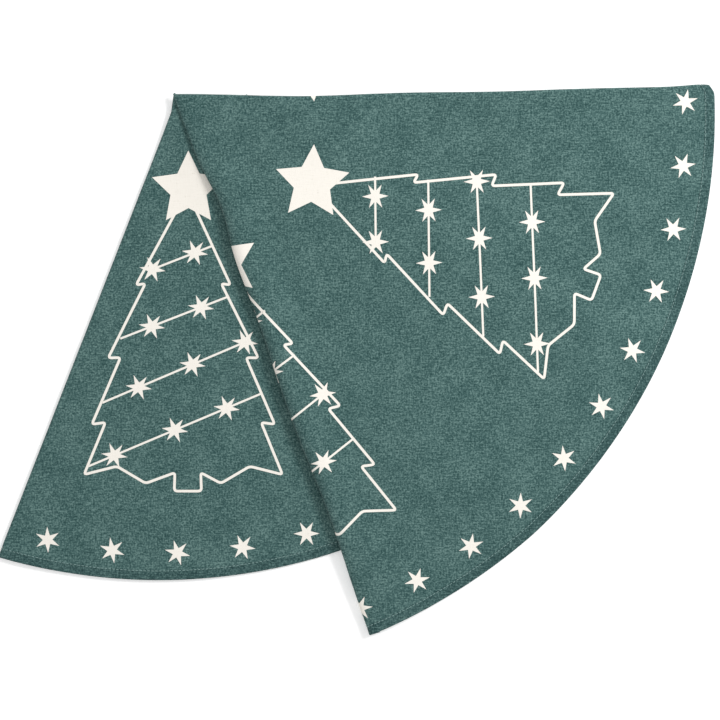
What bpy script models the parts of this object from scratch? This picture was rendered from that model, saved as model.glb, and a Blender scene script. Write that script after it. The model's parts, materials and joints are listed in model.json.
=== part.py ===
"""Round Christmas tree skirt, folded and lying flat.

The skirt is one circle of cloth with a small centre hole, a slit from the rim to the hole,
a turned and stitched hem all round, and touch tape that closes the slit round the trunk.
Here it lies folded into five layers. From the surface up they are:

    back_left    under everything, face down, from the left fold to the slit
    left_front   the visible left-hand face, from the left fold to the hidden pleat fold
    pleat        face down, from the pleat fold back to the flap fold
    back_right   face down, from the slit to the top fold
    front        the visible right-hand face, from the top fold to the flap fold

The layers meet in four folds: left_fold, pleat_fold, flap_fold and top_fold. Lengths are in
metres, +Z is up, and the plan is laid out from the apex, the corner where the folds meet.
"""
import math

import bpy
from mathutils import Vector

# --- cloth and hem ---------------------------------------------------------------------
SKIRT_RADIUS = 0.500          # finished radius of the whole circle
CLOTH_THICKNESS = 0.0007      # one layer of the woven cloth
HEM_WIDTH = 0.0085            # turned hem round the rim
HEM_THICKNESS = 0.0014        # the turned edge, pressed
SLIT_HEM_WIDTH = 0.012        # turned hem along both edges of the slit
THREAD_WIDTH = 0.0005         # the row of stitches that holds a hem
HOLE_RADIUS = 0.020           # centre hole for the trunk, inside its hem
HOLE_HEM_WIDTH = 0.005
GAP = 0.0003                  # between pieces that touch

# --- how it is folded ------------------------------------------------------------------
FLAP_FOLD_ANGLE = -70.0       # direction of each fold away from the apex, degrees from +X
LEFT_FOLD_ANGLE = -111.3
PLEAT_FOLD_ANGLE = -36.0
TOP_FOLD_ANGLE = 0.85
LEFT_FOLD_TOP = Vector((-0.0017, -0.0157))     # where the left fold starts
PLEAT_MARGIN = 0.0045                          # cloth between the centre hole's hem and the pleat fold
RIGHT_SLIT_ANGLE = -66.0
RIGHT_SLIT_TOP = Vector((0.022, -0.010))       # where the right edge of the slit starts
LEFT_SLIT_DROP = 0.016                         # from the top fold down to the left slit edge
TOP_EDGE_DROP = 0.0045                         # from the top fold to the layers inside it

# centre of the rim's circle in each layer as it lies
FRONT_CENTRE = Vector((-0.0261, -0.0191))
BACK_RIGHT_CENTRE = Vector((-0.0261, 0.0050))
PLEAT_CENTRE = Vector((-0.0261, -0.0111))
LEFT_FRONT_CENTRE = Vector((-0.0125, 0.0748))
BACK_LEFT_CENTRE = Vector((-0.0385, 0.0845))

# --- touch tape and label --------------------------------------------------------------
TAPE_LENGTH = 0.045
TAPE_WIDTH = 0.016
TAPE_THICKNESS = 0.0009
TAPE_MARGIN = 0.002           # from the slit edge to the tape
TAPE_SPACING = 0.130          # from one pair of tapes to the next, along the slit
FIRST_TAPE = 0.050            # from the start of the slit edge to the first tape's middle
TAPE_COUNT = 3
LABEL_LENGTH = 0.045
LABEL_WIDTH = 0.025
LABEL_THICKNESS = 0.0003
LABEL_PLACE = 0.310           # along the right slit edge

ARC_STEP = 2.5                # degrees between points on the rim
HOLE_STEP = 8.0               # degrees between points round the centre hole
FOLD_SIDES = 12               # facets round a fold

CLOTH_COLOUR = (0.080, 0.159, 0.153)
REVERSE_COLOUR = (0.105, 0.180, 0.172)
THREAD_COLOUR = (0.120, 0.220, 0.210)
TAPE_COLOUR = (0.060, 0.120, 0.115)
LABEL_COLOUR = (0.80, 0.80, 0.78)

# --- heights of the layers' middles ----------------------------------------------------
# A layer rises enough for a hem to lie on a hem, and for a tape to lie between two panels.
LAYER_PITCH = max(HEM_THICKNESS + GAP, CLOTH_THICKNESS + TAPE_THICKNESS + 2 * GAP)
BACK_LEFT_Z = HEM_THICKNESS / 2
LEFT_FRONT_Z = BACK_LEFT_Z + LAYER_PITCH
PLEAT_Z = LEFT_FRONT_Z + LAYER_PITCH
BACK_RIGHT_Z = PLEAT_Z + LAYER_PITCH
FRONT_Z = BACK_RIGHT_Z + LAYER_PITCH
BACK_LEFT_PANEL_Z = CLOTH_THICKNESS / 2        # this panel lies on the surface

# --- radii inside the rim, shared by every layer ---------------------------------------
HEM_INNER_RADIUS = SKIRT_RADIUS - HEM_WIDTH
THREAD_OUTER_RADIUS = HEM_INNER_RADIUS - GAP
THREAD_INNER_RADIUS = THREAD_OUTER_RADIUS - THREAD_WIDTH
PANEL_RADIUS = THREAD_INNER_RADIUS - GAP


class Line:
    """A straight line in plan, from a point away from the apex."""

    def __init__(self, point, angle):
        self.point = Vector(point)
        self.direction = Vector((math.cos(math.radians(angle)), math.sin(math.radians(angle))))
        self.normal = Vector((-self.direction.y, self.direction.x))
        self.angle = angle

    def offset(self, distance):
        """The parallel line, moved to the left of its own direction."""
        return Line(self.point + self.normal * distance, self.angle)

    def at(self, distance):
        return self.point + self.direction * distance

    def meet(self, other):
        """Point where two lines cross."""
        across = self.direction.cross(other.direction)
        along = (other.point - self.point).cross(other.direction) / across
        return self.at(along)

    def reach(self, centre, radius):
        """Distance along the line to where it leaves a circle."""
        towards = self.direction.dot(centre - self.point)
        aside = (centre - self.point).length_squared - towards * towards
        return towards + math.sqrt(radius * radius - aside)


def fold_radius(upper, lower):
    """Radius of a fold's middle surface, between two layers' heights."""
    return (upper - lower) / 2


def fold_reach(upper, lower):
    """How far a fold stands out past its axis."""
    return fold_radius(upper, lower) + CLOTH_THICKNESS / 2


def chord(line, centre, radius):
    """Where a line crosses a circle: the point behind, then the point ahead."""
    drop = line.normal.dot(centre - line.point)
    foot = centre - line.normal * drop
    half = line.direction * math.sqrt(radius * radius - drop * drop)
    return foot - half, foot + half


APEX = Vector((0.0, 0.0))
FLAP_EDGE = Line(APEX, FLAP_FOLD_ANGLE)
TOP_FOLD_EDGE = Line(APEX, TOP_FOLD_ANGLE)

# Free edges.
TOP_EDGE = TOP_FOLD_EDGE.offset(-TOP_EDGE_DROP)
LEFT_SLIT = TOP_FOLD_EDGE.offset(-LEFT_SLIT_DROP)
RIGHT_SLIT = Line(RIGHT_SLIT_TOP, RIGHT_SLIT_ANGLE)

# The centre hole lies in the pleat: its middle is the front's, mirrored in the flap fold.
HOLE_CENTRE = FRONT_CENTRE - 2 * FLAP_EDGE.normal * FLAP_EDGE.normal.dot(FRONT_CENTRE)
HOLE_HEM_RADIUS = HOLE_RADIUS + HOLE_HEM_WIDTH
HOLE_THREAD_RADIUS = HOLE_HEM_RADIUS + GAP + THREAD_WIDTH
HOLE_PANEL_RADIUS = HOLE_THREAD_RADIUS + GAP
PLEAT_FOLD_TOP = chord(TOP_EDGE, HOLE_CENTRE, HOLE_PANEL_RADIUS)[1] + TOP_EDGE.direction * PLEAT_MARGIN

# The folds' axes, each inside the edge that the eye sees by the fold's own reach.
FLAP_AXIS = FLAP_EDGE.offset(fold_reach(FRONT_Z, PLEAT_Z))
TOP_AXIS = TOP_FOLD_EDGE.offset(-fold_reach(FRONT_Z, BACK_RIGHT_Z))
LEFT_AXIS = Line(LEFT_FOLD_TOP, LEFT_FOLD_ANGLE).offset(fold_reach(LEFT_FRONT_Z, BACK_LEFT_PANEL_Z))
PLEAT_AXIS = Line(PLEAT_FOLD_TOP, PLEAT_FOLD_ANGLE)


def arc(centre, radius, start, end):
    """Points along a circle from the first point's bearing to the last one's."""
    first = math.atan2(start.y - centre.y, start.x - centre.x)
    last = math.atan2(end.y - centre.y, end.x - centre.x)
    turn = (last - first + math.pi) % (2 * math.pi) - math.pi
    steps = max(1, round(abs(math.degrees(turn)) / ARC_STEP))
    bearings = [first + turn * step / steps for step in range(steps + 1)]
    return [centre + radius * Vector((math.cos(a), math.sin(a))) for a in bearings]


def rim_arc(centre, radius, start_line, end_line):
    """The stretch of a rim between two lines."""
    start = start_line.at(start_line.reach(centre, radius))
    end = end_line.at(end_line.reach(centre, radius))
    return arc(centre, radius, start, end)


def rim_band(centre, inner, outer, start_line, end_line):
    """A curved strip beside the rim, between two lines."""
    outside = rim_arc(centre, outer, start_line, end_line)
    inside = rim_arc(centre, inner, start_line, end_line)
    return outside + inside[::-1]


def strip(line, near, far, start, end):
    """A straight strip beside a line: near and far are offsets to its left."""
    return [
        line.offset(near).at(start),
        line.offset(near).at(end),
        line.offset(far).at(end),
        line.offset(far).at(start),
    ]


def material(name, colour, roughness):
    """A plain Principled material for one piece."""
    made = bpy.data.materials.new(name)
    made.use_nodes = True
    shader = made.node_tree.nodes["Principled BSDF"]
    shader.inputs["Base Color"].default_value = (*colour, 1.0)
    shader.inputs["Roughness"].default_value = roughness
    shader.inputs["Metallic"].default_value = 0.0
    return made


def place(name, data, colour, roughness=0.9):
    """Put finished data in the skirt's collection, under its empty."""
    piece = bpy.data.objects.new(name, data)
    piece.data.materials.append(material(name + "_material", colour, roughness))
    SKIRT.objects.link(piece)
    piece.parent = ROOT
    return piece


def flat_piece(name, outline, middle, thickness, colour):
    """A flat piece of cloth, tape or thread, cut to an outline."""
    curve = bpy.data.curves.new(name, "CURVE")
    curve.dimensions = "2D"
    curve.fill_mode = "BOTH"
    curve.extrude = thickness / 2
    spline = curve.splines.new("POLY")
    spline.points.add(len(outline) - 1)
    for point, corner in zip(spline.points, outline):
        point.co = (corner.x, corner.y, 0.0, 1.0)
    spline.use_cyclic_u = True
    piece = place(name, curve, colour)
    piece.location.z = middle
    return piece


def fold(name, axis, start, end, upper, lower, outward):
    """A half tube of cloth that joins two layers along a fold.

    It runs along the axis from start to end. outward is +1 where the fold stands out to the
    left of the axis's direction, and -1 where it stands out to the right.
    """
    radius = fold_radius(upper, lower)
    side = axis.normal * outward
    mesh = bpy.data.meshes.new(name)
    vertices = []
    for distance in (start, end):
        foot = axis.at(distance)
        for step in range(FOLD_SIDES + 1):
            bearing = math.pi * step / FOLD_SIDES - math.pi / 2
            plan = foot + side * radius * math.cos(bearing)
            vertices.append((plan.x, plan.y, radius * math.sin(bearing)))
    row = FOLD_SIDES + 1
    faces = [(i, i + 1, row + i + 1, row + i) for i in range(FOLD_SIDES)]
    mesh.from_pydata(vertices, [], faces)
    mesh.shade_smooth()
    piece = place(name, mesh, CLOTH_COLOUR)
    piece.location.z = (upper + lower) / 2
    shell = piece.modifiers.new("cloth thickness", "SOLIDIFY")
    shell.thickness = CLOTH_THICKNESS
    shell.offset = 0.0
    shell.use_even_offset = True
    return piece


def hemmed_rim(name, centre, middle, start_line, end_line):
    """The turned hem of one layer's rim and the row of stitches inside it."""
    hem = rim_band(centre, HEM_INNER_RADIUS, SKIRT_RADIUS, start_line, end_line)
    flat_piece(name + "_hem", hem, middle, HEM_THICKNESS, CLOTH_COLOUR)
    stitches = rim_band(centre, THREAD_INNER_RADIUS, THREAD_OUTER_RADIUS, start_line, end_line)
    flat_piece(name + "_hem_thread", stitches, middle, HEM_THICKNESS, THREAD_COLOUR)


def slit_inset():
    """From the slit's edge to the panel: its hem, the stitches and their gaps."""
    return SLIT_HEM_WIDTH + THREAD_WIDTH + 2 * GAP


def slit_end(line, inward, centre):
    """How far a slit's hem runs before the rim's own hem, along its shorter side."""
    stretch = PANEL_RADIUS - GAP
    sides = [line, line.offset(inward * slit_inset())]
    return min(side.reach(centre, stretch) for side in sides)


def hemmed_slit(name, line, inward, start, end, middle):
    """The turned hem along one edge of the slit, with its stitches.

    inward is +1 where the cloth lies to the left of the line's direction, else -1.
    """
    hem = strip(line, 0.0, inward * SLIT_HEM_WIDTH, start, end)
    flat_piece(name + "_slit_hem", hem, middle, HEM_THICKNESS, CLOTH_COLOUR)
    near = inward * (SLIT_HEM_WIDTH + GAP)
    far = near + inward * THREAD_WIDTH
    stitches = strip(line, near, far, start, end)
    flat_piece(name + "_slit_thread", stitches, middle, HEM_THICKNESS, THREAD_COLOUR)


def tapes(name, line, inward, middle):
    """Touch tape beside one slit hem, in a row of equal steps."""
    near = inward * (slit_inset() + TAPE_MARGIN)
    far = near + inward * TAPE_WIDTH
    for index in range(TAPE_COUNT):
        centre = FIRST_TAPE + index * TAPE_SPACING
        outline = strip(line, near, far, centre - TAPE_LENGTH / 2, centre + TAPE_LENGTH / 2)
        flat_piece(f"{name}_{index + 1}", outline, middle, TAPE_THICKNESS, TAPE_COLOUR)


def front():
    """The visible right-hand face, between the top fold and the flap fold."""
    left = FLAP_AXIS.offset(GAP)
    top = TOP_AXIS.offset(-GAP)
    panel = rim_arc(FRONT_CENTRE, PANEL_RADIUS, left, top) + [top.meet(left)]
    flat_piece("front_panel", panel, FRONT_Z, CLOTH_THICKNESS, CLOTH_COLOUR)
    hemmed_rim("front", FRONT_CENTRE, FRONT_Z, left, top)


def back_right():
    """The layer under the front, face down, from the top fold to the slit's right edge."""
    top = TOP_AXIS.offset(-GAP)
    slit = RIGHT_SLIT
    inner = slit.offset(slit_inset())
    panel = rim_arc(BACK_RIGHT_CENTRE, PANEL_RADIUS, inner, top) + [top.meet(inner)]
    flat_piece("back_right_panel", panel, BACK_RIGHT_Z, CLOTH_THICKNESS, REVERSE_COLOUR)
    hemmed_rim("back_right", BACK_RIGHT_CENTRE, BACK_RIGHT_Z, slit, top)
    end = slit_end(slit, 1, BACK_RIGHT_CENTRE)
    hemmed_slit("right", slit, 1, 0.0, end, BACK_RIGHT_Z)
    below = BACK_RIGHT_Z - CLOTH_THICKNESS / 2 - GAP - TAPE_THICKNESS / 2
    tapes("hook_tape", slit, 1, below)
    near = slit_inset() + GAP
    label = strip(slit, near, near + LABEL_WIDTH, LABEL_PLACE, LABEL_PLACE + LABEL_LENGTH)
    above = BACK_RIGHT_Z + CLOTH_THICKNESS / 2 + GAP + LABEL_THICKNESS / 2
    flat_piece("care_label", label, above, LABEL_THICKNESS, LABEL_COLOUR)


def hole_arc(radius):
    """A circle round the centre hole, clockwise, as far as the pleat's cloth goes.

    It starts on the top edge, on the right, and ends on the flap fold if it gets there, and
    otherwise on the top edge again.
    """
    side = FLAP_AXIS.offset(GAP)
    end, start = chord(TOP_EDGE, HOLE_CENTRE, radius)
    if radius > side.normal.dot(HOLE_CENTRE - side.point):
        end = side.at(side.reach(HOLE_CENTRE, radius))
    first = math.atan2(start.y - HOLE_CENTRE.y, start.x - HOLE_CENTRE.x)
    last = math.atan2(end.y - HOLE_CENTRE.y, end.x - HOLE_CENTRE.x)
    turn = (first - last) % (2 * math.pi)
    steps = round(math.degrees(turn) / HOLE_STEP)
    bearings = [first - turn * step / steps for step in range(steps + 1)]
    return [HOLE_CENTRE + radius * Vector((math.cos(a), math.sin(a))) for a in bearings]


def pleat():
    """The layer under the back, from the flap fold to the pleat fold, with the centre hole."""
    left = FLAP_AXIS.offset(GAP)
    right = PLEAT_AXIS.offset(-GAP)
    hole_edge = hole_arc(HOLE_PANEL_RADIUS)
    corner = [TOP_EDGE.meet(right)] + hole_edge
    if left.normal.dot(hole_edge[-1] - left.point) > GAP:
        corner.append(TOP_EDGE.meet(left))
    panel = rim_arc(PLEAT_CENTRE, PANEL_RADIUS, left, right) + corner
    flat_piece("pleat_panel", panel, PLEAT_Z, CLOTH_THICKNESS, REVERSE_COLOUR)
    hemmed_rim("pleat", PLEAT_CENTRE, PLEAT_Z, left, right)
    hem = hole_arc(HOLE_HEM_RADIUS) + hole_arc(HOLE_RADIUS)[::-1]
    flat_piece("centre_hem", hem, PLEAT_Z, HEM_THICKNESS, CLOTH_COLOUR)
    stitches = hole_arc(HOLE_THREAD_RADIUS) + hole_arc(HOLE_THREAD_RADIUS - THREAD_WIDTH)[::-1]
    flat_piece("centre_hem_thread", stitches, PLEAT_Z, HEM_THICKNESS, THREAD_COLOUR)


def left_front():
    """The visible left-hand face, which runs on under the front to the pleat fold."""
    left = LEFT_AXIS.offset(GAP)
    right = PLEAT_AXIS.offset(-GAP)
    corner = [TOP_EDGE.meet(right), TOP_EDGE.meet(left)]
    panel = rim_arc(LEFT_FRONT_CENTRE, PANEL_RADIUS, left, right) + corner
    flat_piece("left_front_panel", panel, LEFT_FRONT_Z, CLOTH_THICKNESS, CLOTH_COLOUR)
    hemmed_rim("left_front", LEFT_FRONT_CENTRE, LEFT_FRONT_Z, left, right)


def back_left():
    """The bottom layer, face down, from the left fold to the slit's left edge."""
    left = LEFT_AXIS.offset(GAP)
    slit = LEFT_SLIT
    inner = slit.offset(-slit_inset())
    start = (slit.meet(left) - slit.point).dot(slit.direction) + SLIT_HEM_WIDTH
    corner = [inner.meet(left)]
    panel = rim_arc(BACK_LEFT_CENTRE, PANEL_RADIUS, left, inner) + corner
    flat_piece("back_left_panel", panel, BACK_LEFT_PANEL_Z, CLOTH_THICKNESS, REVERSE_COLOUR)
    hemmed_rim("back_left", BACK_LEFT_CENTRE, BACK_LEFT_Z, left, slit)
    end = slit_end(slit, -1, BACK_LEFT_CENTRE)
    hemmed_slit("left", slit, -1, start, end, BACK_LEFT_Z)
    above = CLOTH_THICKNESS + GAP + TAPE_THICKNESS / 2
    tapes("loop_tape", slit, -1, above)


def folds():
    """The four folds between the layers."""
    flap_end = FLAP_AXIS.reach(FRONT_CENTRE, SKIRT_RADIUS)
    fold("flap_fold", FLAP_AXIS, TOP_EDGE_DROP, flap_end, FRONT_Z, PLEAT_Z, -1)
    top_end = TOP_AXIS.reach(FRONT_CENTRE, SKIRT_RADIUS)
    fold("top_fold", TOP_AXIS, 2 * TOP_EDGE_DROP, top_end, FRONT_Z, BACK_RIGHT_Z, 1)
    pleat_start = (TOP_EDGE.meet(PLEAT_AXIS) - PLEAT_AXIS.point).dot(PLEAT_AXIS.direction)
    pleat_end = PLEAT_AXIS.reach(LEFT_FRONT_CENTRE, SKIRT_RADIUS)
    fold("pleat_fold", PLEAT_AXIS, pleat_start, pleat_end, PLEAT_Z, LEFT_FRONT_Z, 1)
    left_end = LEFT_AXIS.reach(LEFT_FRONT_CENTRE, SKIRT_RADIUS)
    fold("left_fold", LEFT_AXIS, 0.0, left_end, LEFT_FRONT_Z, BACK_LEFT_PANEL_Z, -1)


def centre_on_footprint():
    """Move the whole skirt so that the origin is under the middle of its box."""
    bpy.context.view_layer.update()
    graph = bpy.context.evaluated_depsgraph_get()
    corners = []
    for piece in SKIRT.objects:
        if piece.type != "EMPTY":
            seen = piece.evaluated_get(graph)
            mesh = seen.to_mesh()
            corners += [seen.matrix_world @ vertex.co for vertex in mesh.vertices]
            seen.to_mesh_clear()
    for axis in (0, 1):
        low = min(corner[axis] for corner in corners)
        high = max(corner[axis] for corner in corners)
        ROOT.location[axis] = -(low + high) / 2
    bpy.context.view_layer.update()


for old in list(bpy.data.objects):
    bpy.data.objects.remove(old, do_unlink=True)

SKIRT = bpy.data.collections.new("tree_skirt")
bpy.context.scene.collection.children.link(SKIRT)
ROOT = bpy.data.objects.new("tree_skirt_root", None)
SKIRT.objects.link(ROOT)

back_left()
left_front()
pleat()
back_right()
front()
folds()
centre_on_footprint()
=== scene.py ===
"""Looks of the folded tree skirt: cloth, folds, hems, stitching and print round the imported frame.

Every sheet is cut in flat cloth coordinates and laid down by a Lay, which knows how high the
cloth lies at each place and where it folds over. Hems, stitches, tape and print go through the
same Lay as their cloth, so they follow its waves and wrap round its folds.
"""
import json
import math

import bmesh
import bpy
import numpy as np
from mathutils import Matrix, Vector, noise


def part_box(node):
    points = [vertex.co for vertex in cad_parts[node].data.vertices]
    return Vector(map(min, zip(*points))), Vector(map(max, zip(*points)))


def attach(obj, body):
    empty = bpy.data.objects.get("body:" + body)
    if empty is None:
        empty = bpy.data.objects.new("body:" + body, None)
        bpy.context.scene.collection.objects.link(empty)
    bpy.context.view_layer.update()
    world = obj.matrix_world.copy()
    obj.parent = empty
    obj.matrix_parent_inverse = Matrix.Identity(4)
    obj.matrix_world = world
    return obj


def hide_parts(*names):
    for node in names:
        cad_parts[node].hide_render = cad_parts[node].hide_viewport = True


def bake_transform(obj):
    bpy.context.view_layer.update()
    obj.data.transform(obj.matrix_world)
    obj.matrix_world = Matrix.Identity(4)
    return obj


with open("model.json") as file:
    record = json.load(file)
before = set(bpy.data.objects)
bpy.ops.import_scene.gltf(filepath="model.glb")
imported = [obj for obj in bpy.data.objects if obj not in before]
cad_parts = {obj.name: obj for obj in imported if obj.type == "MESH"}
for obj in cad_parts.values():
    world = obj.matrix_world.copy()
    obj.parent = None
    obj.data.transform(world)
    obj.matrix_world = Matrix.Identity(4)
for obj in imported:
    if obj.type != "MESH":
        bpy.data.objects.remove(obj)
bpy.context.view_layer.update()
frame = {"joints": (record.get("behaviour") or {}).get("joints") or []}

# --- sizes that the frame gives ---
HINGES = {joint["name"]: joint for joint in frame["joints"]}


def unit(angle):
    """Plan direction at an angle in degrees from +X."""
    return np.array((math.cos(math.radians(angle)), math.sin(math.radians(angle))))


def left_of(direction):
    return np.array((-direction[1], direction[0]))


def half_height(node):
    low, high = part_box(node)
    return (high.z - low.z) / 2


FLAP_DIRECTION = np.array(HINGES["flap_fold_hinge"]["axis"][:2])
FLAP_PIN = np.array(HINGES["flap_fold_hinge"]["pos_m"])
LEFT_DIRECTION = np.array(HINGES["left_fold_hinge"]["axis"][:2])
LEFT_PIN = np.array(HINGES["left_fold_hinge"]["pos_m"])
FLAP_IN = left_of(FLAP_DIRECTION)          # from the flap fold into the front
LEFT_IN = left_of(LEFT_DIRECTION)          # from the left fold into the left front
APEX = FLAP_PIN[:2] - FLAP_IN * half_height("flap_fold")
LEFT_EDGE = LEFT_PIN[:2] - LEFT_IN * half_height("left_fold")

FRONT_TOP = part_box("front_panel")[1].z
PLEAT_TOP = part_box("pleat_panel")[1].z
LEFT_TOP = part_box("left_front_panel")[1].z
BACK_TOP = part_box("back_left_panel")[1].z
BACK_RIGHT_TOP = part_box("back_right_panel")[1].z
CLOTH = FRONT_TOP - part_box("front_panel")[0].z
LAYER_PITCH = PLEAT_TOP - LEFT_TOP
CLOTH_RISE = 0.0002               # how far the lowest two sheets stand above their CAD panels

# --- the cut of the skirt ---
RADIUS = 0.500
PANEL_RADIUS = RADIUS - 0.0088   # the cloth reaches a little way into the hem
SLIT_HEM = 0.012
TOP_ANGLE = 0.85
PLEAT_ANGLE = -36.0
SLIT_ANGLE = -66.0
TOP_IN = -left_of(unit(TOP_ANGLE))         # away from the top fold and the left slit
PLEAT_IN = -left_of(unit(PLEAT_ANGLE))
SLIT_IN = left_of(unit(SLIT_ANGLE))

# --- where each layer's circle is centred, from the apex ---
FRONT_CENTRE = APEX + (-0.0261, -0.0191)
PLEAT_CENTRE = APEX + (-0.0261, -0.0111)
LEFT_CENTRE = APEX + (-0.0125, 0.0748)
BACK_CENTRE = APEX + (-0.0385, 0.0845)
BACK_RIGHT_CENTRE = APEX + (-0.0261, 0.0050)
PLEAT_START = APEX + (0.0622, -0.0036)
SLIT_START = APEX + (0.022, -0.010)
LEFT_START = 0.0035               # how far along the top the left slit edge begins

GRAIN = 0.004                     # mesh size on the visible cloth
COARSE = 0.010                    # mesh size on the hidden cloth
PRINT_RISE = 0.00012              # how far the print stands on the cloth
PRINT_SUNK = 0.00015              # how far its foot goes into the cloth
STAR_RISE = 0.00003               # how far stars stand above the lines
PRINT_MARGIN = 0.0004             # from the end of a fold to the print
WEAVE = 0.0006                    # from thread to thread
BEND_FIRST = 0.0040               # distances inside a fold's axis that are cut again,
BEND_LAST = 0.0070                # where nothing else is said
BEND_MARGIN = 0.0006              # how far past its end a fold is still cut
BEND_STEP = 0.0008                # between the cuts along a fold
FINE_STEP = 0.0002                # between the cuts where a fold opens
TURN_STEPS = 60


def smooth(value):
    """Smooth step from 0 at or below 0 to 1 at or above 1."""
    held = np.clip(value, 0.0, 1.0)
    return held * held * (3.0 - 2.0 * held)


def bump(along, place, width):
    """A soft bump of height 1 along a line."""
    return np.exp(-(((along - place) / width) ** 2))


class Fold:
    """A rounded fold along a straight edge. Its section is half an ellipse.

    wander says how far the edge strays inwards at each place along it, and swell how much
    the fold stands up there, over and above its two layers.
    """

    def __init__(self, edge, direction, inward, half_width, half_height, wander=None, swell=None):
        self.edge = np.array(edge)
        self.direction = np.array(direction)
        self.inward = np.array(inward)
        self.half_width = half_width
        self.half_height = half_height
        self.wander = wander or (lambda along: 0.0 * along)
        self.swell = swell or (lambda along: 0.0 * along)
        self.turns = np.linspace(0.0, math.pi, TURN_STEPS)
        x = half_width * np.sin(self.turns)
        z = half_height * np.cos(self.turns)
        steps = np.hypot(np.diff(x), np.diff(z))
        self.lengths = np.concatenate(([0.0], np.cumsum(steps)))
        self.length = self.lengths[-1]
        self.opening = np.arange(BEND_FIRST, BEND_LAST, BEND_STEP)

    def opens(self, first, last):
        """Sets where the cloth bends most as the fold opens, which is cut finely."""
        self.opening = np.arange(first, last, FINE_STEP)
        return self

    def inset(self, points):
        """Distance of flat points inside the fold's axis, wandering as it does."""
        offset = points - self.edge
        return offset @ self.inward - self.half_width - self.wander(offset @ self.direction)

    def bend(self, points, above):
        """Flat points moved to where they lie in plan, and the change in their height."""
        inset = self.inset(points)
        height = self.half_height + self.swell((points - self.edge) @ self.direction) / 2
        turn = np.interp(-inset, self.lengths, self.turns)
        normal_x = -np.sin(turn) * height
        normal_z = np.cos(turn) * self.half_width
        size = np.hypot(normal_x, normal_z)
        across = -self.half_width * np.sin(turn) + above * normal_x / size
        rise = height * (np.cos(turn) - 1.0) + above * normal_z / size
        under = np.maximum(-inset - self.length, 0.0)
        across = np.where(inset > 0.0, inset, across + under)
        rise = np.where(inset > 0.0, above, rise)
        return points + np.outer(across - inset, self.inward), rise - above


class Lay:
    """How one sheet lies: the height of its face at each place, and its folds in order."""

    def __init__(self, level, folds=(), tweak=None):
        self.level = level
        self.folds = folds
        self.tweak = tweak
        self.drop = 2 * max([fold.half_height for fold in folds], default=0.0)

    def put(self, flat, above):
        """World positions of flat points, a given height above the cloth's face."""
        plan = np.array(flat, float)
        above = np.broadcast_to(np.asarray(above, float), (len(plan),))
        rise = np.zeros(len(plan))
        for fold in self.folds:
            plan, change = fold.bend(plan, above)
            rise = rise + change
        if self.tweak is not None:
            plan = self.tweak(plan)
        rise = rise + above
        if self.folds:
            rise = np.maximum(rise, np.maximum(-above, 0.0) - self.drop)
        return np.column_stack((plan, np.maximum(self.level(plan) + rise, 0.0)))


# --- how high the layers lie ---
def beside(points, start, angle):
    """Distance of points to the left of a line."""
    return (points - start) @ left_of(unit(angle))


def beyond(points, centre, radius):
    """Distance of points outside a circle."""
    return np.hypot(*(points - centre).T) - radius


def waves(points, scale, seed):
    """Slow, soft relief of about plus or minus 1, the same at each run."""
    return np.array([noise.noise(Vector((x / scale, y / scale, seed))) for x, y in points]) * 2.0


SHORT_DROP = 0.045                # how far past a layer's edge those above it still sink
LONG_DROP = 0.085


def drop_past(distance, width):
    """0 over a layer, rising to 1 once past its edge by a width. Starts just outside the edge."""
    return smooth((distance - 0.002) / width)


def missing_layers(points):
    """How many layers' height the upper layers sink, where those beneath them have ended."""
    pleat_line = beside(points, PLEAT_START, PLEAT_ANGLE)
    off_left = drop_past(np.maximum(pleat_line, beyond(points, LEFT_CENTRE, RADIUS)), LONG_DROP)
    off_back = drop_past(beyond(points, BACK_CENTRE, RADIUS), SHORT_DROP)
    off_back = off_back * smooth(((points - APEX) @ FLAP_IN - 0.020) / 0.060)
    return off_left, off_back, drop_past(pleat_line, LONG_DROP)


def pleat_level(points):
    off_left, off_back, _ = missing_layers(points)
    return PLEAT_TOP - LAYER_PITCH * (off_left + off_back)


def front_level(points):
    off_left, off_back, off_pleat = missing_layers(points)
    settled = FRONT_TOP - LAYER_PITCH * (off_left + off_back + off_pleat)
    offset = points - APEX
    inset = offset @ FLAP_IN - flap_wander(offset @ FLAP_DIRECTION)
    settled += flap_swell(offset @ FLAP_DIRECTION) * (1.0 - smooth((inset - 0.006) / FLAP_SLOPE))
    return settled + 0.00045 * waves(points, 0.085, 1.7) + 0.00018 * waves(points, 0.030, 4.1)


def left_level(points):
    off_back = drop_past(beyond(points, BACK_CENTRE, RADIUS), SHORT_DROP)
    relief = 0.00040 * waves(points, 0.080, 7.3) + 0.00015 * waves(points, 0.028, 9.9)
    offset = points - APEX
    along = offset @ FLAP_DIRECTION
    near_flap = bump(offset @ FLAP_IN - flap_wander(along), 0.004, 0.022)
    rise = LEFT_RISE * near_flap * smooth((0.150 - along) / 0.110)
    return LEFT_TOP + CLOTH_RISE - 0.8 * LAYER_PITCH * off_back + relief + rise


def back_right_level(points):
    off_left, off_back, off_pleat = missing_layers(points)
    return BACK_RIGHT_TOP - LAYER_PITCH * (off_left + off_back + off_pleat)


def back_level(points):
    return np.full(len(points), BACK_TOP + CLOTH_RISE)


# --- the folds ---
FLAP_SWELL = 0.0044               # most that the flap's fold stands above its layers
LEFT_RISE = 0.0030                # how far the left front rises to the flap's fold near the apex
FLAP_SLOPE = 0.038                # how far into the front that height runs out


def flap_wander(along):
    upper = 0.0056 * bump(along, 0.108, 0.034) + 0.0024 * bump(along, 0.205, 0.060)
    return upper + 0.0026 * bump(along, 0.395, 0.060)


def flap_swell(along):
    """How far the flap's fold stands up, away from its two ends."""
    rising = smooth((along - 0.020) / 0.120)
    falling = smooth((0.500 - along) / 0.140)
    return FLAP_SWELL * rising * falling


def top_wander(along):
    sag = 0.0036 * bump(along, 0.115, 0.075) + 0.0018 * bump(along, 0.270, 0.070)
    return sag - 0.0019 * bump(along, 0.468, 0.026)


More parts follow.
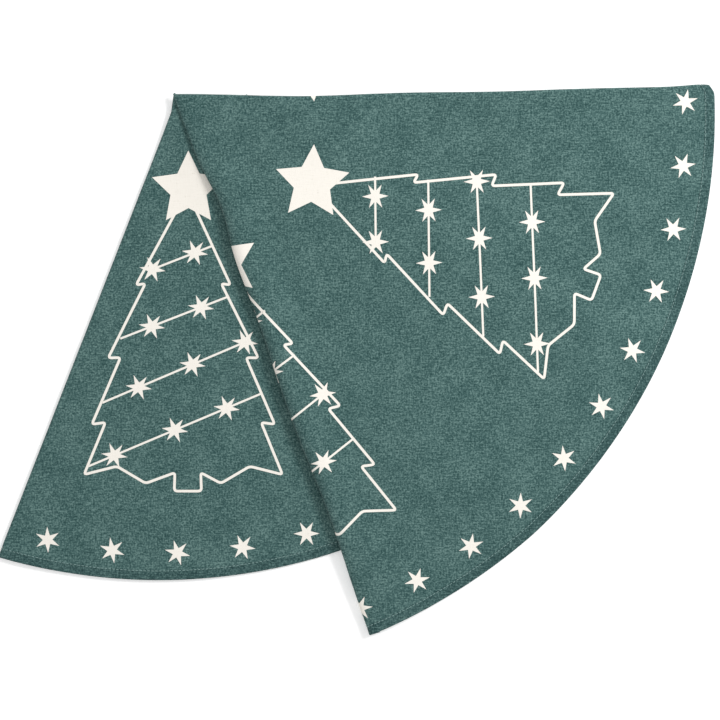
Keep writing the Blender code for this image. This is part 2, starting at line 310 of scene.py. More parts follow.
def left_wander(along):
    """Above its start the left fold turns up to the apex."""
    return 0.24 * np.minimum(along, 0.0)


UNDER_FLAP = (FRONT_TOP - (PLEAT_TOP - CLOTH)) / 2
UNDER_TOP = half_height("top_fold")
UNDER_LEFT = (LEFT_TOP + CLOTH_RISE) / 2
FLAP_HALF_WIDTH = 0.0095
TOP_HALF_WIDTH = 0.0026
LEFT_HALF_WIDTH = 0.0022
PLEAT_HALF_WIDTH = 0.0011
FLAP_FOLD = Fold(
    APEX, FLAP_DIRECTION, FLAP_IN, FLAP_HALF_WIDTH, UNDER_FLAP, flap_wander, flap_swell
).opens(BEND_FIRST, 0.0100)
TOP_FOLD = Fold(APEX, unit(TOP_ANGLE), TOP_IN, TOP_HALF_WIDTH, UNDER_TOP, top_wander)
LEFT_FOLD = Fold(LEFT_EDGE, LEFT_DIRECTION, LEFT_IN, LEFT_HALF_WIDTH, UNDER_LEFT, left_wander)
PLEAT_FOLD = Fold(
    PLEAT_START - PLEAT_HALF_WIDTH * PLEAT_IN,
    unit(PLEAT_ANGLE),
    PLEAT_IN,
    PLEAT_HALF_WIDTH,
    LAYER_PITCH / 2 + CLOTH / 2,
)

TIP_ROUNDING = 0.0040             # how far the right-hand tip is rounded off
TIP_REACH = 0.0080
RIM_PULL = 0.00024                # how far the front's rim is drawn in, for each degree past
RIM_PULL_START = -47.0            # this bearing


def shape_rim(centre, pull):
    """Draws a rim in where it turns over at the top fold, and by a pull towards the flap."""

    def tweak(plan):
        offset = plan - centre
        distance = np.hypot(*offset.T)
        below = (plan - TOP_FOLD.edge) @ TOP_FOLD.inward
        near_rim = np.clip((distance - RADIUS + 0.030) / 0.030, 0.0, 1.2)
        near_top = np.clip(1.0 - below / TIP_REACH, 0.0, 1.0)
        bearings = np.degrees(np.arctan2(offset[:, 1], offset[:, 0]))
        drawn = pull * np.clip(RIM_PULL_START - bearings, 0.0, 40.0) * (bearings > -100.0)
        drawn = drawn * (distance / RADIUS) ** 2 + TIP_ROUNDING * near_rim * near_top ** 2
        return plan - offset / distance[:, None] * drawn[:, None]

    return tweak


FRONT = Lay(front_level, (TOP_FOLD, FLAP_FOLD), shape_rim(FRONT_CENTRE, RIM_PULL))
BACK_RIGHT = Lay(back_right_level, (), shape_rim(BACK_RIGHT_CENTRE, 0.0))
LEFT = Lay(left_level, (LEFT_FOLD,))
PLEAT = Lay(pleat_level)
BACK = Lay(back_level)


# --- shapes in flat cloth ---
def arc_points(centre, radius, start, end, step):
    """Points round a circle between two bearings in radians, about a step apart."""
    count = max(2, round(abs(end - start) * radius / step))
    bearings = np.linspace(start, end, count + 1)
    return centre + radius * np.column_stack((np.cos(bearings), np.sin(bearings)))


def mirror(points, edge, direction):
    """Flat points reflected in a line."""
    offset = np.atleast_2d(points) - edge
    return 2 * np.outer(offset @ direction, direction) - offset + edge


# --- mesh making ---
def add_object(name, data):
    made = bpy.data.objects.new(name, data)
    bpy.context.scene.collection.objects.link(made)
    return made


SHARP_ANGLE = 55                  # degrees between faces past which an edge shows as sharp


def new_mesh(name, vertices, faces, flat, materials, slots=None):
    """A mesh object whose vertices carry their flat cloth coordinates."""
    mesh = bpy.data.meshes.new(name)
    mesh.from_pydata([tuple(v) for v in vertices], [], faces)
    pattern = mesh.attributes.new("flat", "FLOAT_VECTOR", "POINT")
    place = np.zeros((len(vertices), 3), np.float32)
    place[:, :2] = flat
    pattern.data.foreach_set("vector", place.ravel())
    for material in materials:
        mesh.materials.append(material)
    if slots is not None:
        mesh.polygons.foreach_set("material_index", slots)
    mesh.shade_smooth()
    mesh.set_sharp_from_angle(angle=math.radians(SHARP_ANGLE))
    return add_object(name, mesh)


def cut_flat(outlines, size, folds, tests=()):
    """Flat outlines filled and cut into small faces, finer across the folds.

    Gives the points, the faces, and the open edges. Only faces that pass the tests are kept.
    """
    work = bmesh.new()
    for outline in outlines:
        corners = [work.verts.new((x, y, 0.0)) for x, y in outline]
        work.faces.new(corners)
    bmesh.ops.remove_doubles(work, verts=work.verts[:], dist=1e-6)
    bmesh.ops.triangulate(work, faces=work.faces[:])
    points = np.concatenate([np.asarray(outline) for outline in outlines])

    def cut(point, normal):
        bmesh.ops.bisect_plane(
            work,
            geom=work.verts[:] + work.edges[:] + work.faces[:],
            dist=1e-7,
            plane_co=(*point, 0.0),
            plane_no=(*normal, 0.0),
        )

    low, high = points.min(axis=0), points.max(axis=0)
    for axis, normal in enumerate(((1.0, 0.0), (0.0, 1.0))):
        for step in range(math.floor(low[axis] / size) + 1, math.ceil(high[axis] / size)):
            cut(np.array(normal) * step * size, normal)
    for fold in folds:
        first = -fold.length - BEND_MARGIN
        inset = (points - fold.edge) @ fold.inward - fold.half_width
        for place in np.concatenate((np.arange(first, BEND_FIRST, BEND_STEP), fold.opening)):
            if inset.min() < place < inset.max():
                cut(fold.edge + fold.inward * (fold.half_width + place), fold.inward)
    if tests:
        middles = np.array([f.calc_center_median()[:2] for f in work.faces])
        outer = [f for f, kept in zip(work.faces[:], passing(middles, tests)) if not kept]
        bmesh.ops.delete(work, geom=outer, context="FACES")
        loose = [v for v in work.verts if not v.link_faces]
        bmesh.ops.delete(work, geom=loose, context="VERTS")
    work.verts.index_update()
    if not work.faces:
        work.free()
        return np.zeros((0, 2)), [], []
    flat = np.array([(v.co.x, v.co.y) for v in work.verts])
    faces = []
    for face in work.faces:
        loop = [v.index for v in face.verts]
        faces.append(loop if face.normal.z > 0 else loop[::-1])
    rims = []
    for edge in work.edges:
        if len(edge.link_faces) == 1:
            face = edge.link_faces[0]
            loop = [v.index for v in face.verts]
            if face.normal.z <= 0:
                loop.reverse()
            a, b = (v.index for v in edge.verts)
            ordered = loop[(loop.index(a) + 1) % len(loop)] == b
            rims.append((a, b) if ordered else (b, a))
    work.free()
    return flat, faces, rims


def patch(name, lay, outlines, size, top, bottom, materials):
    """A closed piece of even thickness, cut to flat outlines and laid down."""
    flat, faces, rims = cut_flat(outlines, size, lay.folds)
    count = len(flat)
    upper = lay.put(flat, top)
    lower = lay.put(flat, bottom)
    under = [[i + count for i in reversed(face)] for face in faces]
    walls = [(a, a + count, b + count, b) for a, b in rims]
    slots = [0] * len(faces) + [len(materials) - 1] * len(under) + [0] * len(walls)
    vertices = np.concatenate((upper, lower))
    twice = np.concatenate((flat, flat))
    return new_mesh(name, vertices, faces + under + walls, twice, materials, slots)


def tube_faces(base, steps, sides):
    """Faces of a closed tube of rings whose points follow each other from a first one."""
    faces = []
    for ring in range(base, base + (steps - 1) * sides, sides):
        for j in range(sides):
            k = (j + 1) % sides
            faces.append((ring + j, ring + k, ring + sides + k, ring + sides + j))
    faces.append(tuple(base + j for j in reversed(range(sides))))
    return faces + [tuple(base + (steps - 1) * sides + j for j in range(sides))]


def swept(name, lay, flat, above, faces, material):
    """A piece of closed tubes laid down, with its faces turned outwards."""
    piece = new_mesh(name, lay.put(flat, above), faces, flat, [material])
    work = bmesh.new()
    work.from_mesh(piece.data)
    bmesh.ops.recalc_face_normals(work, faces=work.faces[:])
    work.to_mesh(piece.data)
    work.free()
    return piece


def tube_grid(name, lay, rings, above, material):
    """A closed piece swept along rings of flat points: each ring is one section's outline."""
    steps, sides = rings.shape[:2]
    faces = tube_faces(0, steps, sides)
    return swept(name, lay, rings.reshape(-1, 2), np.tile(above, steps), faces, material)


# Section of a turned hem: distance in from the edge, and height above the cloth's face.
HEM_SECTION = (
    (0.0000, -0.00045), (0.0002, -0.00005), (0.0008, 0.00028), (0.0022, 0.00036),
    (0.0050, 0.00032), (0.0076, 0.00026), (0.0086, 0.00016), (0.0090, 0.00006),
    (0.0093, -0.00020), (0.0093, -0.00095), (0.0050, -0.00104), (0.0010, -0.00104),
    (0.0003, -0.00085),
)
HEM_FOOT = 0.0093                 # the hem section's reach from the edge


def hem_section(reach=HEM_FOOT, lift=0.0):
    """A turned hem's distances in from the edge, for a given reach, and its heights."""
    inset, above = np.array(HEM_SECTION).T
    return inset * (reach / HEM_FOOT), above + lift


def rim_hem(name, lay, centre, start, end, material, lift):
    """The turned hem round a rim between two bearings."""
    bearings = np.linspace(start, end, max(8, round(abs(end - start) * RADIUS / 0.0025)))
    rays = np.column_stack((np.cos(bearings), np.sin(bearings)))
    inset, above = hem_section(lift=lift)
    rings = centre + (RADIUS - inset)[None, :, None] * rays[:, None, :]
    return tube_grid(name, lay, rings, above, material)


def straight_hem(name, lay, start, direction, inward, length, material, lift):
    """The turned hem along a straight edge."""
    places = np.linspace(0.0, length, max(8, round(length / 0.005)))
    inset, above = hem_section(SLIT_HEM, lift)
    line = start + np.outer(places, direction)
    rings = line[:, None, :] + inset[None, :, None] * inward
    return tube_grid(name, lay, rings, above, material)


STITCH_INSET = 0.0082             # rim to the row of stitches
SLIT_STITCH_INSET = 0.0012        # row of stitches to the slit hem's inner edge
HOLE_STITCH_SHARE = 0.8           # share of the centre hole's hem at which its stitches run
RIM_STITCH_RISE = 0.00031         # heights of the stitches above the cloth's face
SLIT_STITCH_RISE = 0.00026
HOLE_STITCH_RISE = 0.00028
STITCH = 0.0026                   # length of one stitch
STITCH_PITCH = 0.0034
THREAD = 0.00032                  # half the thread's thickness
THREAD_SIDES = 6
STITCH_SECTIONS = (               # place along a stitch, girth and lift, in shares
    (-0.50, 0.25, -0.90),
    (-0.38, 0.85, -0.10),
    (0.00, 1.00, 0.35),
    (0.38, 0.85, -0.10),
    (0.50, 0.25, -0.90),
)


def stitches(name, lay, line, above):
    """A row of lock stitches along a flat line: each is a short thread, sunk at both ends."""
    lengths = np.concatenate(([0.0], np.cumsum(np.hypot(*np.diff(line, axis=0).T))))
    flats, aboves, faces = [], [], []
    for number in range(int((lengths[-1] - STITCH) / STITCH_PITCH)):
        middle = STITCH + number * STITCH_PITCH
        base = len(flats)
        for along, girth, lift in STITCH_SECTIONS:
            place = middle + along * STITCH
            here = np.array([np.interp(place, lengths, line[:, i]) for i in (0, 1)])
            ahead = np.array([np.interp(place + 1e-4, lengths, line[:, i]) for i in (0, 1)])
            forward = (ahead - here) / np.hypot(*(ahead - here))
            side = left_of(forward)
            for turn in range(THREAD_SIDES):
                bearing = 2 * math.pi * turn / THREAD_SIDES
                flats.append(here + side * THREAD * girth * math.cos(bearing))
                aboves.append(above + THREAD * (lift + girth * math.sin(bearing)))
        faces += tube_faces(base, len(STITCH_SECTIONS), THREAD_SIDES)
    return swept(name, lay, np.array(flats), aboves, faces, THREAD_FINISH)


# --- print ---
def star(centre, points, outer, inner, bearing):
    """Outline of a star. bearing is the direction of its first point, in degrees."""
    outline = []
    for index in range(2 * points):
        radius = outer if index % 2 == 0 else inner
        outline.append(centre + radius * unit(bearing + 180.0 * index / points))
    return outline


def rounded(corners, radius):
    """An open line with each inner corner rounded."""
    line = [np.array(corners[0])]
    for before, corner, after in zip(corners, corners[1:], corners[2:]):
        corner = np.array(corner)
        back, ahead = np.array(before) - corner, np.array(after) - corner
        back_length, ahead_length = np.hypot(*back), np.hypot(*ahead)
        reach = min(radius, back_length / 2.5, ahead_length / 2.5)
        first, last = corner + back / back_length * reach, corner + ahead / ahead_length * reach
        for share in (0.0, 0.25, 0.5, 0.75, 1.0):
            rest = 1 - share
            line.append(rest ** 2 * first + 2 * share * rest * corner + share ** 2 * last)
    line.append(np.array(corners[-1]))
    return np.array(line)


def stroke(line, width):
    """Outline of a printed line of even width."""
    line = np.asarray(line)
    ahead = np.diff(line, axis=0)
    ahead /= np.hypot(*ahead.T)[:, None]
    tangents = np.vstack((ahead[:1], ahead[:-1] + ahead[1:], ahead[-1:]))
    tangents /= np.hypot(*tangents.T)[:, None]
    sides = np.column_stack((-tangents[:, 1], tangents[:, 0]))
    leading = np.vstack((ahead[:1], ahead))
    lean = np.abs(np.sum(sides * np.column_stack((-leading[:, 1], leading[:, 0])), axis=1))
    reach = width / 2 / np.maximum(lean, 0.45)
    return [
        [line[i] + sides[i] * reach[i], line[i] - sides[i] * reach[i],
         line[i + 1] - sides[i + 1] * reach[i + 1], line[i + 1] + sides[i + 1] * reach[i + 1]]
        for i in range(len(line) - 1)
    ]


# The printed tree, in metres: u runs from the star's centre to the trunk, v to its right.
TREE_STAR = (0.0336, 0.0166)
TREE_START = (0.0071, 0.0160)     # under the star
TREE_SIDE = (                     # (v, u) down the right-hand side; the other side is mirrored
    (0.0414, 0.0839),
    (0.0332, 0.0826),
    (0.0657, 0.1477),
    (0.0549, 0.1474),
    (0.0800, 0.2058),
    (0.0681, 0.2041),
    (0.0868, 0.2497),
    (0.0582, 0.2425),
    (0.0329, 0.2574),
)
TRUNK = ((0.0113, 0.2480), (0.0119, 0.2642))
TRUNK_SHIFT = 0.0040              # the trunk stands this far to the right of the outline's middle
TREE_GARLANDS = (                 # two ends of each string, then the places of its stars
    ((-0.0310, 0.0717), (0.0262, 0.0494), (0.07, 0.72)),
    ((-0.0551, 0.1308), (0.0402, 0.0937), (0.29, 0.74)),
    ((-0.0708, 0.1869), (0.0564, 0.1328), (0.25, 0.62, 0.98)),
    ((-0.0830, 0.2425), (0.0682, 0.1789), (0.15, 0.50, 0.80)),
)
TREE_LEAN = 0.0018                # the star stands this far to the right of the outline's middle
LINE = 0.0023                     # width of the outline
STRING = 0.0018                   # width of a garland's string
CORNER = 0.0030                   # rounding of the outline's corners
GARLAND_STAR = (0.0116, 0.0042)
GARLAND_TURN = 22.5
RIM_STAR = (0.0114, 0.0042)
RIM_STAR_TURN = 15.0
RIM_STAR_REACH = 0.4740           # skirt's centre to a rim star
RIM_STAR_STEP = 6.77              # degrees from one rim star to the next
TREE_REACH = 0.1592               # skirt's centre to a tree's star
TREE_OFFSET = 0.84                # degrees from a tree's bearing to its star's


def tree(star_centre, bearing, hand=1.0, lean=TREE_LEAN):
    """The printed shapes of one tree: lines with their widths, and filled stars.

    hand=-1 mirrors it. lean says how far the star stands to the right of the outline's middle.
    """
    down, right = unit(bearing), left_of(unit(bearing)) * hand
    middle = star_centre - right * lean

    def place(v, u):
        return middle + right * v + down * u

    def side(sign):
        """One side of the outline, from under the star to the trunk's foot."""
        points = [place(sign * TREE_START[0] + (lean - TREE_LEAN), TREE_START[1])]
        points += [place(sign * v, u) for v, u in TREE_SIDE]
        return points + [place(sign * v + TRUNK_SHIFT, u) for v, u in TRUNK]

    lines = [(rounded(side(1.0) + side(-1.0)[::-1], CORNER), LINE)]
    stars = [star(star_centre, 5, *TREE_STAR, bearing + 180.0)]
    for left, far, places in TREE_GARLANDS:
        left, far = place(*left), place(*far)
        lines.append((np.array([left, far]), STRING))
        for share in places:
            turn = bearing + hand * GARLAND_TURN
            stars.append(star(left + (far - left) * share, 6, *GARLAND_STAR, turn))
    return lines, stars


def rim_stars(centre, radius, bearings, hand=1.0):
    """Thin six-pointed stars in a ring."""
    return [
        star(centre + radius * unit(b), 6, *RIM_STAR, b + hand * RIM_STAR_TURN) for b in bearings
    ]


def passing(points, tests):
    """Which points pass every test."""
    return np.all([test(points) for test in tests], axis=0)


def past(fold, inset):
    return lambda points: fold.inset(points) >= inset


def print_on(name, lay, lines, stars, tests, side=1.0):
    """Printed ink as one thin closed piece for each shape. side=-1 is the sheet's under side.

    It is kept before the end of every fold, and where it passes the tests.
    """
    vertices, faces, flats = [], [], []
    tests = [past(fold, PRINT_MARGIN - fold.length) for fold in lay.folds] + tests
    shapes = [(stroke(line, width), PRINT_RISE) for line, width in lines]
    shapes += [([outline], PRINT_RISE + STAR_RISE) for outline in stars]
    for outlines, rise in shapes:
        flat, tops, rims = cut_flat(outlines, GRAIN, lay.folds, tests)
        if not tops:
            continue
        near, far = (rise, -PRINT_SUNK) if side > 0 else (PRINT_SUNK - CLOTH, -rise - CLOTH)
        count, base = len(flat), len(flats)
        vertices.extend(lay.put(flat, near))
        vertices.extend(lay.put(flat, far))
        flats.extend(flat)
        flats.extend(flat)
        faces.extend([[i + base for i in face] for face in tops])
        faces.extend([[i + base + count for i in reversed(face)] for face in tops])
        faces.extend((a + base, a + base + count, b + base + count, b + base) for a, b in rims)
    return new_mesh(name, vertices, faces, np.array(flats), [INK])


# --- materials ---
class Nodes:
    """A short way to write a node material."""

    def __init__(self, name, roughness, specular=0.3, sheen=0.0, sheen_roughness=0.5):
        self.material = bpy.data.materials.new(name)
        self.material.use_nodes = True
        self.tree = self.material.node_tree
        self.shader = self.tree.nodes["Principled BSDF"]
        self.shader.inputs["Roughness"].default_value = roughness
        self.shader.inputs["Specular IOR Level"].default_value = specular
        self.shader.inputs["Sheen Weight"].default_value = sheen
        self.shader.inputs["Sheen Roughness"].default_value = sheen_roughness

    def add(self, kind, settings=(), **inputs):
        made = self.tree.nodes.new("ShaderNode" + kind)
        for key, value in dict(settings).items():
            setattr(made, key, value)
        for key, value in inputs.items():
            socket = made.inputs[int(key[1:]) if key[1:].isdigit() else key.replace("_", " ")]
            if isinstance(value, bpy.types.NodeSocket):
                self.tree.links.new(value, socket)
            else:
                socket.default_value = value
        return made

    def flat(self):
        return self.add("Attribute", {"attribute_name": "flat"}).outputs["Vector"]

    def stretched(self, vector, sizes):
        """The vector measured in units of three sizes in metres."""
        scale = tuple(1.0 / size for size in sizes)
        made = self.add("VectorMath", {"operation": "MULTIPLY"}, i0=vector, i1=scale)
        return made.outputs[0]

    def noise(self, vector, sizes, detail=2.0, roughness=0.5):
        made = self.add(
            "TexNoise",
            Vector=self.stretched(vector, sizes),
            Scale=1.0,
            Detail=detail,
            Roughness=roughness,
        )
        return made.outputs["Fac"]

    def sums(self, *terms):
        """Sum of (socket, weight) pairs."""
        total = None
        for socket, weight in terms:
            part = self.add("Math", {"operation": "MULTIPLY"}, i0=socket, i1=weight).outputs[0]
            if total is None:
                total = part
            else:
                total = self.add("Math", {"operation": "ADD"}, i0=total, i1=part).outputs[0]
        return total

    def ramp(self, factor, stops):
        made = self.add("ValToRGB", Fac=factor)
        band = made.color_ramp
        band.elements[0].position, band.elements[1].position = stops[0][0], stops[-1][0]
        band.elements[0].color, band.elements[1].color = (*stops[0][1], 1), (*stops[-1][1], 1)
        for place, colour in stops[1:-1]:
            band.elements.new(place).color = (*colour, 1)
        return made.outputs["Color"]

    def colour(self, factor, stops):
        self.tree.links.new(self.ramp(factor, stops), self.shader.inputs["Base Color"])

    def bump(self, height, distance, strength):
        made = self.add("Bump", Height=height, Distance=distance, Strength=strength)
        self.tree.links.new(made.outputs["Normal"], self.shader.inputs["Normal"])
        return self.material

    def weave(self, vector, pitch):
        """Height of a plain weave: two sets of threads."""
        sets = []
        for direction in ("X", "Y"):
            settings = {"wave_type": "BANDS", "bands_direction": direction, "wave_profile": "SIN"}
            scale = 2 * math.pi / 20 / pitch
            made = self.add("TexWave", settings, Vector=vector, Scale=scale)
            sets.append(made.outputs["Fac"])
        return self.add("Math", {"operation": "MAXIMUM"}, i0=sets[0], i1=sets[1]).outputs[0]


def cloth_material(name, dark, middle, light, contrast):
    """Heathered plain weave: threads of uneven thickness and shade in both directions."""
    nodes = Nodes(name, roughness=0.86, specular=0.22, sheen=0.18, sheen_roughness=0.45)
    place = nodes.flat()
    across = nodes.noise(place, (0.0070, 0.0013, 1.0), 3.0, 0.65)
    along = nodes.noise(place, (0.0013, 0.0060, 1.0), 3.0, 0.65)
    speck = nodes.noise(place, (0.0016, 0.0015, 1.0), 2.0, 0.7)
    patch_shade = nodes.noise(place, (0.026, 0.026, 1.0), 2.0, 0.5)
    mix = nodes.sums((across, 0.26), (along, 0.21), (speck, 0.44), (patch_shade, 0.09))
    half = 0.077 / contrast
    stops = ((0.5 - half, dark), (0.5, middle), (0.5 + half, light))
    nodes.colour(mix, stops)
    threads = nodes.weave(place, WEAVE)
    relief = nodes.sums((threads, 0.55), (across, 0.6), (along, 0.6))
    return nodes.bump(relief, 0.00022, 0.55)


def ink_material():
    """Pale pigment print, thin enough for the weave to show."""
    nodes = Nodes("print_ink", roughness=0.72, specular=0.25)
    place = nodes.flat()
    across = nodes.noise(place, (0.0090, 0.0010, 1.0), 3.0, 0.6)
    along = nodes.noise(place, (0.0010, 0.0090, 1.0), 3.0, 0.6)
    mix = nodes.sums((across, 0.5), (along, 0.5))
    dark, middle, light = (0.72, 0.680, 0.60), (0.865, 0.825, 0.755), (0.905, 0.865, 0.795)
    nodes.colour(mix, ((0.30, dark), (0.42, middle), (0.70, light)))
    return nodes.bump(nodes.sums((nodes.weave(place, WEAVE), 0.6), (mix, 0.6)), 0.00015, 0.4)


def thread_material():
    """Two-ply sewing thread with a slight shine."""
    nodes = Nodes("sewing_thread", roughness=0.5, specular=0.4, sheen=0.1)
    place = nodes.flat()
    twist = nodes.noise(place, (0.0004, 0.0004, 1.0), 1.0)
    nodes.colour(twist, ((0.3, (0.150, 0.262, 0.250)), (0.7, (0.262, 0.395, 0.378))))
    return nodes.bump(twist, 0.0001, 0.5)


def tape_material(name, pitch, roughness):
    """Touch tape: rows of small hooks or a pile of loops."""
    nodes = Nodes(name, roughness=roughness, specular=0.35, sheen=0.15)
    place = nodes.flat()
    pile = nodes.noise(place, (pitch, pitch, 1.0), 3.0, 0.7)
    dark, middle, light = (0.030, 0.064, 0.061), (0.062, 0.125, 0.119), (0.11, 0.19, 0.18)
    nodes.colour(pile, ((0.30, dark), (0.55, middle), (0.75, light)))
    return nodes.bump(nodes.sums((pile, 1.0), (nodes.weave(place, pitch * 1.6), 0.5)), 0.0004, 0.8)


def label_material():
    """Blank woven satin label."""
    nodes = Nodes("woven_label", roughness=0.55, specular=0.35, sheen=0.2)
    place = nodes.flat()
    rib = nodes.noise(place, (0.0060, 0.0005, 1.0), 2.0)
    nodes.colour(rib, ((0.3, (0.70, 0.70, 0.67)), (0.7, (0.86, 0.86, 0.84))))
    return nodes.bump(nodes.weave(place, 0.0004), 0.0001, 0.5)


FLOOR_GLOW = 0.24                 # the pale floor is lit from within, to keep shadows faint


def floor_material():
    nodes = Nodes("studio_floor", roughness=0.9, specular=0.1)
    place = nodes.add("TexCoord").outputs["Object"]
    grain = nodes.noise(place, (0.5, 0.5, 0.5), 1.0)
    nodes.colour(grain, ((0.3, (0.93, 0.93, 0.93)), (0.7, (0.95, 0.95, 0.95))))
    nodes.shader.inputs["Emission Color"].default_value = (1.0, 1.0, 1.0, 1.0)
    nodes.shader.inputs["Emission Strength"].default_value = FLOOR_GLOW
    return nodes.material


FACE = cloth_material(
    "teal_face", (0.018, 0.060, 0.059), (0.054, 0.121, 0.116), (0.138, 0.238, 0.222), 1.0
)
REVERSE = cloth_material(
    "teal_reverse", (0.062, 0.122, 0.118), (0.098, 0.176, 0.169), (0.160, 0.250, 0.240), 0.8
)
# Visible hems: a darker copy of the face cloth. This is painted shade where the hem turns down at
# the rim.
HEM_PAINTED_SHADE = cloth_material(
    "teal_hem_painted_shade", (0.012, 0.044, 0.044), (0.037, 0.090, 0.088), (0.105, 0.190, 0.180), 1.0
)
INK = ink_material()
THREAD_FINISH = thread_material()
HOOKS = tape_material("hook_side", 0.0009, 0.45)
LOOPS = tape_material("loop_side", 0.0014, 0.85)
LABEL = label_material()


# --- cloth outlines ---
EDGE_STEP = 0.004                 # between points along a straight edge
EDGE_END = 0.56                   # where such an edge ends before it is clipped
RIM_STEP = 0.008


def fold_line(fold, inset, first=-0.03):
    """Points along a fold at a distance inside its axis, from the apex outwards."""
    along = np.arange(first, EDGE_END, EDGE_STEP)
    shift = fold.half_width + fold.wander(along) + inset
    return fold.edge + np.outer(along, fold.direction) + np.outer(shift, fold.inward)


def clip_to(points, *tests):
    """The points that pass every test."""
    return points[passing(points, tests)]


def side_of(start, angle, distance, sign=1.0):
    """Points more than a distance to the left of a line (sign=1) or to its right (sign=-1)."""
    return lambda points: sign * beside(points, start, angle) >= distance


def bearing_of(point, centre):
    return math.atan2(*(point - centre)[::-1])


def bearings_between(centre, first, last):
    """Bearings of two points, the second counter-clockwise of the first."""
    start, end = bearing_of(first, centre), bearing_of(last, centre)
    return start, end + 2 * math.pi if end < start else end


def outline_round(centre, radius, first, last, *more):
    """An outline out along one edge, round the rim and back along another, and its rim corners."""
    first, last = (edge[beyond(edge, centre, radius) <= 0.0] for edge in (first, last))
    start, end = bearings_between(centre, first[-1], last[-1])
    rim = arc_points(centre, radius, start, end, RIM_STEP)[1:-1]
    return np.concatenate((first, rim, last[::-1], *more)), first[-1], last[-1]


def line_points(start, angle):
    return start + np.outer(np.arange(0.0, EDGE_END, EDGE_STEP), unit(angle))


PLEAT_LAP = 0.0035                # how far the pleat reaches in under the flap's fold
HOLE_RADIUS = 0.020
HOLE_HEM = 0.005
HOLE_STEP = 3.0                   # degrees between points round the hole
HOLE_CENTRE = mirror(FRONT_CENTRE, APEX, FLAP_DIRECTION)[0]
INNER_TOP = APEX + TOP_IN * 0.0045
LEFT_SLIT = APEX + TOP_IN * 0.016
SLIT_PANEL = SLIT_HEM - 0.0004    # the cloth reaches this far into the slit's hem
TAPE = (0.045, 0.016, 0.0009)     # length, width and thickness
TAPE_GAP = 0.0033                 # from the slit's hem to the tape
TAPE_RISE = 0.0003                # from the cloth to the tape's back
TAPE_PLACES = (0.050, 0.180, 0.310)
TAPE_CLEARANCE = 0.034            # from the slit's edge to the print
BACK_HEM_LIFT = 0.00034           # keeps the lowest sheet's hem off the floor
LABEL_GAP = 0.0016                # from the slit's hem to the label
LABEL_WIDTH = 0.025
LABEL_ENDS = (0.310, 0.355)       # along the slit


def front_outline(radius):
    flap = fold_line(FLAP_FOLD, -FLAP_FOLD.length, first=0.0120)
    top = clip_to(fold_line(TOP_FOLD, -TOP_FOLD.length), past(FLAP_FOLD, -FLAP_FOLD.length * 0.55))
    return outline_round(FRONT_CENTRE, radius, flap, top)


def left_outline(radius):
    edge = fold_line(LEFT_FOLD, -LEFT_FOLD.length, first=-0.0125)
    return outline_round(LEFT_CENTRE, radius, edge, line_points(PLEAT_START, PLEAT_ANGLE))


def pleat_outline(radius):
    flap = clip_to(
        fold_line(FLAP_FOLD, -PLEAT_LAP),
        side_of(INNER_TOP, TOP_ANGLE, 0.0, -1.0),
        lambda points: beyond(points, HOLE_CENTRE, HOLE_RADIUS + HOLE_HEM) > 0,
    )
    fold = fold_line(PLEAT_FOLD, -PLEAT_FOLD.length, first=0.0)
    hole = hole_arc(HOLE_RADIUS + HOLE_HEM * 0.96)
    return outline_round(PLEAT_CENTRE, radius, flap, fold, hole)


def back_right_outline(radius):
    edge = SLIT_START + SLIT_IN * SLIT_PANEL
    slit = clip_to(line_points(edge, SLIT_ANGLE), past(TOP_FOLD, 0.0))
    top = clip_to(fold_line(TOP_FOLD, 0.0), side_of(edge, SLIT_ANGLE, 0.0))
    return outline_round(BACK_RIGHT_CENTRE, radius, slit, top)


def back_left_outline(radius):
    edge = LEFT_SLIT + TOP_IN * SLIT_PANEL
    left = clip_to(fold_line(LEFT_FOLD, 0.0, first=0.0), side_of(edge, TOP_ANGLE, 0.0, -1.0))
    slit = clip_to(line_points(edge, TOP_ANGLE), past(LEFT_FOLD, 0.0))
    return outline_round(BACK_CENTRE, radius, left, slit)


def hole_arc(radius):
    """The centre hole's edge, clockwise from the top edge on the right to the left."""
    drop = (HOLE_CENTRE - INNER_TOP) @ TOP_IN
    half = math.degrees(math.acos(np.clip(drop / radius, -1.0, 1.0)))
    first = 90.0 + TOP_ANGLE - half
    last = first - (360.0 - 2 * half)
    bearings = np.arange(first, last, -HOLE_STEP)
    points = np.array([HOLE_CENTRE + radius * unit(b) for b in bearings])
    return clip_to(points, past(FLAP_FOLD, 0.0))


